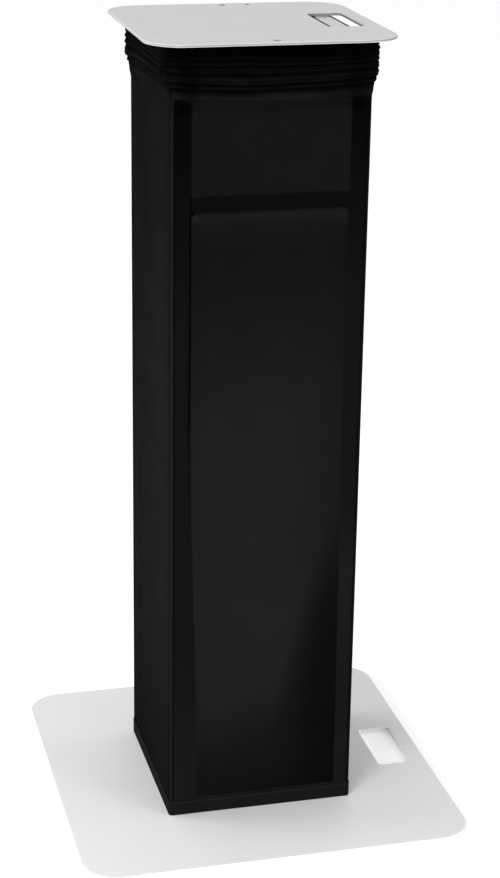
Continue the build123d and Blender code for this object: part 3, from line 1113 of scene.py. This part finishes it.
        # Painted shade near the panel's edges, and on its right side above the middle
        large = large * (1 - 0.12 * ease(inside, 0.030, 0.004))
        large = large * (1 - 0.16 * ease(across, 0.02, 0.08) * ease(height, 0.66, 0.5))
        # Painted highlights just under the cross rail and in the panel's upper left corner
        large = large + t.painted_brow_highlight * bell(height, self.panel_top - 6 * MM, 9 * MM)
        to_corner = np.hypot(across + self.panel_half - 3.5 * MM, height - self.panel_top + 3.5 * MM)
        large = large + t.corner * bell(to_corner, 0.0, 4 * MM) * front

        # Painted light over the posts and the cross rail, lighter lower down and on the right post
        post = t.post + rises(height, t.post_rises)
        post = post + (t.post_right * bell(height, 0.30, 0.10) + 0.03) * ease(across, 0.0, 0.09)
        bar = self.on_bar(height, 1 * MM)
        post = post * (1 - bar) + t.bar * bar
        face = post * (1 - np.maximum(panel, upper)) + large * panel + t.upper * upper
        # Painted shade in a line beside each corner
        face = (t.least + t.gain * face) * (1 - 0.75 * bell(edge, 0.1156, 0.9 * MM))
        # Painted shade in the crevice at the large panel's left edge and at the cross rail's left end
        near_bar = ease(height, 0.826, 0.819)
        painted_crevice_shade = bell(inside, -1.4 * MM, 1.5 * MM) * ease(height, 0.42, 0.60) * near_bar
        painted_bar_end_shade = bell(edge, 0.0964, 1.2 * MM) * ease(height, 0.788, 0.796) * near_bar
        face = face * (1 - 0.98 * np.maximum(painted_crevice_shade, painted_bar_end_shade) * ease(across, -0.088, -0.092) * front)

        # The left and right faces: painted light, lighter towards the front and changing with height
        free = ease(edge, self.post_inside, 0.0930) * ease(height, 0.027, 0.031)
        level = t.side + rises(height, t.side_rises)
        forward = np.where(way.on(Face.LEFT)[None, :] > 0, across, -across)
        side = level * (0.80 + 0.50 * ease(forward, -0.06, 0.09)) * (0.9 + 0.1 * free)
        # Painted shade in a line beside each corner, and a painted highlight on its bend
        side = side * (1 - 0.85 * bell(edge, 0.1130, 2.4 * MM)) + t.bend * bend
        taut = (ends * face + (1 - ends) * side) * (1 + t.uneven * Ripple(41, 13, 0.2).at(turn, height))
        return np.clip(taut, 0.0, 1.0)

    def grid(self) -> tuple[Round, Array, Array, Array]:
        """Lays out the outer face of the cloth.

        Returns:
            The way round, and the offset, height and tone on a grid of rows by columns.
        """
        way = self.way.places()
        taut = steps(self.bottom, self.taut_rows)
        start = self.gather.start(way)
        rise, folds, lip = (np.linspace(0.0, 1.0, rows + 1)[1:, None]
                            for rows in (self.rise_rows, self.fold_rows, self.lip_rows))
        level = np.repeat(taut[:, None], len(way.turn), axis=1)
        low = np.concatenate((level, self.taut_top + rise * (start[None, :] - self.taut_top)))
        below = start[None, :] - low
        hollow = bell(np.abs(way.across)[None, :], 0.1045, 0.007) * bell(below, 0.007, 0.007)
        hollow = hollow * way.on(Face.FRONT, Face.REAR)[None, :]
        offset_low = self.taut_relief(way, low) - 1.1 * MM * hollow
        # Painted shade in the dents at the posts' tops, and in a band under the lowest fold
        painted_shade_near_folds = (1 - 0.95 * np.clip(1.3 * hollow, 0, 1)) * (1 - 0.30 * bell(below, 0.004, 0.006))
        tone_low = self.tone(way, low) * painted_shade_near_folds
        stand, droop, lit = self.gather.shape(way, folds[:, 0])
        high = start[None, :] + folds * (self.gather.top - start[None, :]) - droop
        offset_high = offset_low[-1][None, :] * (1 - ease(folds, 0.0, 0.12)) + stand
        offset_lip = offset_high[-1][None, :] - self.lip * (1 - np.cos(lip * math.pi / 2))
        lip_height = high[-1][None, :] + self.lip * np.sin(lip * math.pi / 2)
        # Up the bunch, the folds' painted light and shade take over from the taut cloth's
        near = ease(folds, 0.0, 0.05)
        tone_high = tone_low[-1][None, :] * (1 - near) + lit * near
        offset = np.concatenate((offset_low, offset_high, offset_lip))
        height = np.concatenate((low, high, lip_height))
        # The lip gets tone 0, painted shade under the top plate
        return way, offset, height, np.concatenate((tone_low, tone_high, lip_height * 0))

    def build(self, material: Material) -> Piece:
        """Builds the sleeve as one closed skin of cloth.

        Args:
            material: The knit.

        Returns:
            The piece.
        """
        way, offset, height, tone = self.grid()
        rows, cols = offset.shape

        def skin(shift: float) -> Array:
            """The grid's points, moved outward by shift."""
            flat = way.point[None, :, :] + way.outward[None, :, :] * (offset + shift)[:, :, None]
            return np.concatenate((flat, height[:, :, None]), axis=2).reshape(-1, 3)

        row, col = np.meshgrid(np.arange(rows - 1), np.arange(cols), indexing="ij")
        after = (col + 1) % cols
        outer = np.stack((row * cols + col, row * cols + after, (row + 1) * cols + after,
                          (row + 1) * cols + col), -1).reshape(-1, 4)
        inner = outer[:, ::-1] + rows * cols
        ring = np.arange(cols)
        ring_after = (ring + 1) % cols
        top, under = (rows - 1) * cols, rows * cols
        brim = np.stack((top + ring, top + ring_after, top + under + ring_after, top + under + ring), -1)
        foot = np.stack((ring_after, ring, under + ring, under + ring_after), -1)
        piece = new_mesh("stretch_cover", np.concatenate((skin(0.0), skin(-self.thick))),
                         np.concatenate((outer, inner, brim, foot)))
        up = np.concatenate((np.zeros((1, cols)),
                             np.cumsum(np.hypot(np.diff(offset, axis=0), np.diff(height, axis=0)), axis=0)))
        travelled = way.lengths()

        def cloth(corners: Array, columns: Array) -> Array:
            """The face corners' places on the flat cloth."""
            return np.stack((travelled[columns], up.ravel()[corners % (rows * cols)]), -1)

        across = np.stack((col, col + 1, col + 1, col), -1).reshape(-1, 4)
        around = np.stack((ring, ring + 1, ring + 1, ring), -1)
        backward = np.stack((ring + 1, ring, ring, ring + 1), -1)
        places = np.concatenate((cloth(outer, across), cloth(inner, across[:, ::-1]),
                                 cloth(brim, around), cloth(foot, backward)))
        set_cloth(piece, places, np.tile(tone.ravel(), 2))
        piece.data.materials.append(material)
        return piece

    def seam_lines(self) -> list[tuple[Array, Array]]:
        """The two stitch lines of the rear seam, up the cloth.

        Returns:
            For each line, its points and outward directions.
        """
        way, offset, height, _ = self.grid()
        off_rear = 9.0 * (way.face != Face.REAR.value)
        lines = []
        for side in (-1, 1):
            column = int(np.argmin(np.abs(way.across - side * self.stitch_line) + off_rear))
            flat = way.point[column] + way.outward[column] * offset[:, column][:, None]
            points = np.concatenate((flat, height[:, column][:, None]), axis=1)
            lines.append((points, np.tile([*way.outward[column], 0.0], (len(points), 1))))
        return lines


@dataclass(frozen=True)
class ClothBand:
    """A band of cloth or tape that lies round the column.

    Attributes:
        name: The piece's name.
        half: From the middle to its outer face.
        corner: Radius of its outer face at the corners.
        low: Height of its lower edge.
        high: Height of its upper edge.
        thick: Its thickness.
        selvage: Width of its thinner edges.
        uneven: How far its outer face and edges wander.
    """

    name: str
    half: float
    corner: float
    low: float
    high: float
    thick: float
    selvage: float = 1.2 * MM
    uneven: float = 0.08 * MM

    def way(self) -> Round:
        """The places round its outer face."""
        return SquareRound(self.half, self.corner, ((1.0, 14),)).places()

    def section(self) -> Array:
        """Cuts through the band.

        Returns:
            Offset and rise of each point, up the outer face and down the inner one.
        """
        edge, tall, thin = 0.3 * self.thick, self.high - self.low, self.selvage
        return np.array([
            (-self.thick, 0.15 * edge), (-self.thick + edge, 0.0), (-edge, 0.0), (-0.35 * edge, 0.35 * edge),
            (-0.5 * edge, thin), (0.0, thin * 1.5), (0.0, tall / 2), (0.0, tall - thin * 1.5),
            (-0.5 * edge, tall - thin), (-0.35 * edge, tall - 0.35 * edge), (-edge, tall),
            (-self.thick + edge, tall), (-self.thick, tall - 0.15 * edge), (-self.thick, tall / 2),
        ])

    def build(self, material: Material, tone: float | None = None) -> Piece:
        """Builds the band as a closed ring.

        Args:
            material: Its material.
            tone: The painted light all over it, where it is of the knit.

        Returns:
            The piece.
        """
        way, section = self.way(), self.section()
        shift, rise = section[None, :, 0], section[None, :, 1]
        cols, ring = len(way.turn), len(section)
        wander = self.uneven * Ripple(51, 37, 1.0).at(way.turn, way.turn * 0)[:, None]
        outer = (shift > -0.6 * 0.3 * self.thick).astype(float)
        out = shift + wander * outer * 0.5
        points = np.empty((cols, ring, 3))
        points[:, :, :2] = way.point[:, None, :] + way.outward[:, None, :] * out[:, :, None]
        points[:, :, 2] = self.low + rise + 0.4 * wander * (rise > (self.high - self.low) / 2)
        col, place = np.meshgrid(np.arange(cols), np.arange(ring), indexing="ij")
        after, up = (col + 1) % cols, (place + 1) % ring
        faces = np.stack((col * ring + place, after * ring + place, after * ring + up, col * ring + up), -1)
        piece = new_mesh(self.name, points.reshape(-1, 3), faces.reshape(-1, 4))
        if tone is not None:
            travelled, reach = way.lengths(), travel(section)
            reach = np.append(reach, reach[-1] + 1.0 * MM)
            corners = [np.stack((travelled[c], reach[p]), -1)
                       for c, p in ((col, place), (col + 1, place), (col + 1, place + 1), (col, place + 1))]
            set_cloth(piece, np.stack(corners, 2).reshape(-1, 2), np.full(cols * ring, tone))
        piece.data.materials.append(material)
        return piece


@dataclass(frozen=True)
class StitchRun:
    """A run of lockstitch: short rounded lengths of thread that dive into the cloth.

    Attributes:
        length: Length of one stitch.
        gap: From one stitch to the next.
        thread: Thickness of the thread.
        proud: How far the thread's middle stands above the cloth.
        sides: How many sides the thread has.
        outline: Along one stitch, the share of its length, of the thread's full thickness
            and of the thickness by which it rises.
    """

    length: float = 3.0 * MM
    gap: float = 1.1 * MM
    thread: float = 0.5 * MM
    proud: float = 0.12 * MM
    sides: int = 6
    outline: tuple[Place, ...] = ((0.0, 0.35, -0.6), (0.12, 0.8, -0.1), (0.35, 1.0, 0.0),
                                  (0.65, 1.0, 0.0), (0.88, 0.8, -0.1), (1.0, 0.35, -0.6))

    def stitch(self, middle: Array, out: Array) -> list[Array]:
        """Shapes one stitch.

        Args:
            middle: Points along the cloth, one for each place of the outline.
            out: The cloth's outward directions there.

        Returns:
            Its points, a ring for each place.
        """
        _, size, rise = np.array(self.outline).T
        out = out / np.linalg.norm(out, axis=1)[:, None]
        ahead = middle[-1] - middle[0]
        ahead = ahead / np.linalg.norm(ahead)
        sideways = np.cross(ahead, out)
        sideways /= np.linalg.norm(sideways, axis=1)[:, None]
        up = np.cross(sideways, ahead)
        middle = middle + up * (self.proud + rise * self.thread)[:, None]
        angles = [math.tau * side / self.sides for side in range(self.sides)]
        return [middle[k] + size[k] * self.thread / 2 * (math.cos(a) * sideways[k] + math.sin(a) * up[k])
                for k in range(len(size)) for a in angles]

    def build(self, name: str, lines: Sequence[tuple[Array, Array]], material: Material) -> Piece:
        """Sews along lines.

        Args:
            name: The piece's name.
            lines: For each line, its points and outward directions.
            material: The thread's material.

        Returns:
            The piece.
        """
        sides, shares = self.sides, np.array([share for share, _, _ in self.outline])
        points, faces = [], []
        for line, outward in lines:
            travelled = travel(line)
            for begin in np.arange(self.gap, travelled[-1] - self.length, self.length + self.gap):
                at = begin + shares * self.length
                middle, out = (np.stack([np.interp(at, travelled, rows[:, k]) for k in range(3)], -1)
                               for rows in (line, outward))
                first, last = len(points), len(points) + (len(shares) - 1) * sides
                points.extend(self.stitch(middle, out))
                for ring in range(first, last, sides):
                    for side in range(sides):
                        a, b = ring + side, ring + (side + 1) % sides
                        faces.append((a, b, b + sides, a + sides))
                faces.append(tuple(first + side for side in reversed(range(sides))))
                faces.append(tuple(last + side for side in range(sides)))
        piece = new_mesh(name, np.array(points), faces)
        piece.data.materials.append(material)
        return piece


@dataclass(frozen=True)
class CoverSet:
    """The whole textile cover: sleeve, hem, stitches and touch tapes.

    Attributes:
        sleeve: The sleeve.
        hem_low: Lower edge of the hem.
        hem_high: Upper edge of the hem.
        hem_stitch: Height of the hem's stitch line.
        hem_gap: From the sleeve to the hem.
        hem_thick: Thickness of the turned hem.
        hem_painted_light: Painted light on the hem, as a share of the knit's lightest colour.
        tape_corner: Radius of the tapes at the corners.
        tape_thick: Thickness of the tapes.
        bend_start: Height where the cloth would start to follow the lift; not used.
        cut: Width and length the sleeve was cut to; not used.
        knit: The cloth.
        thread: The sewing thread.
        hooks: The face of the hook tapes.
        loops: The face of the loop tapes.
    """

    sleeve: StretchCover = StretchCover()
    hem_low: float = 8.0 * MM
    hem_high: float = 27.5 * MM
    hem_stitch: float = 25.3 * MM
    hem_gap: float = 0.1 * MM
    hem_thick: float = 0.75 * MM
    hem_painted_light: float = 0.72
    tape_corner: float = 2.6 * MM
    tape_thick: float = 0.78 * MM
    bend_start: float = 0.905
    cut: tuple[float, float] = (0.94, 1.15)
    knit: StretchKnit = StretchKnit("knit_black", (0.0003, 0.0003, 0.00031),
                                   painted_lit_colour=(0.0083, 0.0083, 0.0086))
    thread: TwistedThread = TwistedThread("thread_black", (0.02, 0.02, 0.021))
    hooks: TapePile = TapePile("tape_hooks", (0.03, 0.03, 0.031), tuft=1.1 * MM, tuft_depth=0.35 * MM)
    loops: TapePile = TapePile("tape_loops", (0.022, 0.022, 0.023), tuft=0.7 * MM, tuft_depth=0.25 * MM)

    def tapes(self) -> list[Piece]:
        """Builds the four touch tapes, in the boxes of their solids.

        Returns:
            The two loop tapes, which are sewn to the cover.
        """
        sewn = []
        for end, body in (("base", "lower_frame"), ("top", "lift_frame")):
            for kind, pile in (("hook", self.hooks), ("loop", self.loops)):
                node = f"{end}_{kind}_tape"
                low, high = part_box(node)
                band = ClothBand(f"{end}_{kind}_band", high.x, self.tape_corner, low.z, high.z,
                                 self.tape_thick, uneven=0.0)
                piece = band.build(pile.material())
                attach(piece, body)
                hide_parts(node)
                log.info("%s: %.1f mm wide", piece.name, (high.z - low.z) / MM)
                if pile is self.loops:
                    sewn.append(piece)
        return sewn

    def hem(self, knit: Material, thread: Material) -> list[Piece]:
        """Builds the turned hem and its stitch line.

        Args:
            knit: The cloth's material.
            thread: The thread's material.

        Returns:
            The hem and its stitches.
        """
        outset = self.hem_gap + self.hem_thick
        band = ClothBand("cover_hem", self.sleeve.way.half + outset, self.sleeve.way.corner + outset,
                         self.hem_low, self.hem_high, self.hem_thick)
        way = band.way()
        closed = np.append(np.arange(len(way.turn)), 0)
        line = np.concatenate((way.point[closed], np.full((len(closed), 1), self.hem_stitch)), axis=1)
        out = np.concatenate((way.outward[closed], np.zeros((len(closed), 1))), axis=1)
        # The hem's knit gets an even painted light all round
        pieces = [band.build(knit, self.hem_painted_light), StitchRun().build("hem_stitches", [(line, out)], thread)]
        for piece in pieces:
            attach(piece, "lower_frame")
            log.info("%s: %d faces", piece.name, len(piece.data.polygons))
        return pieces

    def build(self) -> None:
        knit, thread = self.knit.material(), self.thread.material()
        sleeve = self.sleeve.build(knit)
        seam = StitchRun().build("seam_stitches", self.sleeve.seam_lines(), thread)
        with_it = [*self.hem(knit, thread), *self.tapes(), seam]
        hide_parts("cover_front_panel", "cover_rear_panel", "cover_left_panel", "cover_right_panel",
                    "cover_gather")
        for piece in (sleeve, seam):
            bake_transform(piece)
            log.info("%s: %d faces", piece.name, len(piece.data.polygons))


# ---- The steel and its fittings ----


@dataclass(frozen=True)
class Fittings:
    """Every modelled solid that stays in view, with its finish.

    Attributes:
        by_slot: The finish of each material slot.
        top_paint_painted_shade: The finish of the top plate: the plate paint made darker as painted shade,
            with painted shade on its upright cut edges.
        screws: The finish of the clamp screws.
        studs: The finish of the top studs.
    """

    by_slot: dict[str, Finish] = field(default_factory=lambda: {
        "plate_paint": PowderCoat("plate_paint", (0.70, 0.70, 0.705), gloss_blur=0.5),
        "frame_paint": PowderCoat("frame_paint", (0.50, 0.51, 0.52), gloss_blur=0.42, peel=1.2 * MM,
                                  peel_depth=0.02 * MM, fleck=0.35),
        "zinc_tube": ZincPlate("zinc_tube", (0.72, 0.73, 0.74), gloss_blur=0.3, drawn=(1.0, 1.0, 0.04)),
        "zinc_hardware": ZincPlate("zinc_hardware", (0.66, 0.67, 0.69), gloss_blur=0.36, spangle=2.0 * MM),
        "foot_rubber": Rubber("foot_rubber", (0.03, 0.03, 0.03)),
        "knob_plastic": MouldedPlastic("knob_plastic", (0.03, 0.03, 0.031)),
        "guide_plastic": MouldedPlastic("guide_plastic", (0.07, 0.07, 0.072), gloss_blur=0.35,
                                        grain=0.8 * MM, grain_depth=0.01 * MM),
    })
    # Painted shade: a darker copy of the plate paint, with darker upright edges
    top_paint_painted_shade: PowderCoat = PowderCoat("top_paint_painted_shade", (0.66, 0.66, 0.665), gloss_blur=0.5, edge_painted_shade=0.32)
    screws: ZincPlate = ZincPlate("zinc_screw", (0.66, 0.67, 0.69), gloss_blur=0.33, spangle=2.0 * MM,
                                  thread=ThreadAxis.ALONG_X)
    studs: ZincPlate = ZincPlate("zinc_stud", (0.66, 0.67, 0.69), gloss_blur=0.33, spangle=2.0 * MM,
                                 thread=ThreadAxis.ALONG_Z)

    def finish_of(self, node: str, slot: str) -> Finish | None:
        """Chooses a solid's finish.

        Args:
            node: The solid's name.
            slot: Its material slot.

        Returns:
            The finish, or None where cloth or tape stands for the solid.
        """
        if node.startswith("clamp_screw"):
            return self.screws
        own = {"top_studs": self.studs, "top_plate": self.top_paint_painted_shade}
        return own.get(node) or self.by_slot.get(slot)

    def dress(self) -> None:
        """Gives each solid its material."""
        made: dict[str, Material] = {}
        for part in frame["record"]["subparts"]:
            node, slot = part["node"], part["material_slot"]
            finish = self.finish_of(node, slot)
            if finish is None:
                continue
            if finish.name not in made:
                made[finish.name] = finish.material()
            mesh = frame["nodes"][node].data
            if not mesh.materials:
                mesh.materials.append(None)
            for index in range(len(mesh.materials)):
                mesh.materials[index] = made[finish.name]
            log.info("%s: %s", node, finish.name)


# ---- The studio ----


@dataclass(frozen=True)
class Softbox:
    """A square area light that faces the column.

    Attributes:
        name: The light's name.
        place: Where it hangs.
        aim: The point that it faces.
        side: Its width and height.
        power: Its power, in watts.
    """

    name: str
    place: Place
    aim: Place
    side: float
    power: float

    def hang(self) -> None:
        """Adds the light to the scene."""
        data = bpy.data.lights.new(self.name, "AREA")
        data.shape, data.size, data.energy = "SQUARE", self.side, self.power
        lamp = bpy.data.objects.new(self.name, data)
        lamp.location = self.place
        lamp.rotation_mode = "QUATERNION"
        lamp.rotation_quaternion = (Vector(self.aim) - Vector(self.place)).to_track_quat("-Z", "Y")
        bpy.context.scene.collection.objects.link(lamp)


@dataclass(frozen=True)
class Studio:
    """A pale floor, soft light and the camera.

    Attributes:
        sky: Strength of the even white light.
        floor_glow: Light that the floor gives off, as a lit studio table does.
        floor_side: Side of the floor.
        floor_colour: Colour of the floor.
        lights: The softboxes.
        eye: Where the camera stands.
        azimuth: How far it stands round from the front, in degrees.
        elevation: How far it looks down, in degrees.
        roll: How far it leans, in degrees.
        lens: Its focal length, in millimetres.
    """

    sky: float = 0.80
    floor_glow: float = 0.22
    floor_side: float = 140.0
    floor_colour: Colour = (0.93, 0.93, 0.93)
    lights: tuple[Softbox, ...] = (
        Softbox("key", (-3.4, -3.8, 1.50), (-0.1, -0.1, 0.30), side=2.0, power=250.0),
        Softbox("fill", (1.7, -1.9, 0.80), (0.0, 0.0, 0.1), side=1.2, power=20.0),
        Softbox("side", (-2.4, 0.9, 0.80), (-0.1, 0.0, 0.05), side=1.2, power=43.0),
    )
    eye: Place = (-0.6166, -2.4292, 1.3886)
    azimuth: float = -14.46
    elevation: float = 20.09
    roll: float = 0.89
    lens: float = 85.76

    def lay_floor(self) -> None:
        """Lays the floor, which gives off a little light."""
        half = self.floor_side / 2
        corners = np.array([(-half, -half, 0), (half, -half, 0), (half, half, 0), (-half, half, 0)])
        floor = new_mesh("studio_floor", corners, [(0, 1, 2, 3)], smooth=False)
        graph = FinishGraph("studio_floor")
        graph.surface(
            Base_Color=graph.mottled(graph.noise(graph.place(), 0.4, 2.0), self.floor_colour, 0.99),
            Roughness=0.85,
            Specular_IOR_Level=0.1,
            Emission_Color=(1.0, 1.0, 1.0, 1.0),
            Emission_Strength=self.floor_glow,
        )
        floor.data.materials.append(graph.material)

    def light(self) -> None:
        """Lights the sky and hangs the softboxes."""
        world = bpy.data.worlds.new("studio_sky")
        world.use_nodes = True
        sky = world.node_tree.nodes["Background"]
        sky.inputs["Color"].default_value = (1.0, 1.0, 1.0, 1.0)
        sky.inputs["Strength"].default_value = self.sky
        bpy.context.scene.world = world
        for softbox in self.lights:
            softbox.hang()

    def aim_camera(self) -> None:
        """Puts up the camera."""
        data = bpy.data.cameras.new("camera")
        data.lens, data.sensor_width = self.lens, 36.0
        data.dof.use_dof = False
        camera = bpy.data.objects.new("camera", data)
        bpy.context.scene.collection.objects.link(camera)
        turn = Matrix.Identity(4)
        for angle, axis in ((self.azimuth, "Z"), (90.0 - self.elevation, "X"), (self.roll, "Z")):
            turn = turn @ Matrix.Rotation(math.radians(angle), 4, axis)
        camera.matrix_world = Matrix.Translation(self.eye) @ turn
        bpy.context.scene.camera = camera

    def build(self) -> None:
        """Sets up the floor, the lights, the sky and the camera."""
        bpy.context.scene.view_settings.view_transform = "Standard"
        self.lay_floor()
        self.light()
        self.aim_camera()


def main() -> None:
    """Builds the plinth's looks in order."""
    logging.basicConfig(level=logging.INFO, format="%(message)s")
    Studio().build()
    Fittings().dress()
    CoverSet().build()


if __name__ == "__main__":
    main()
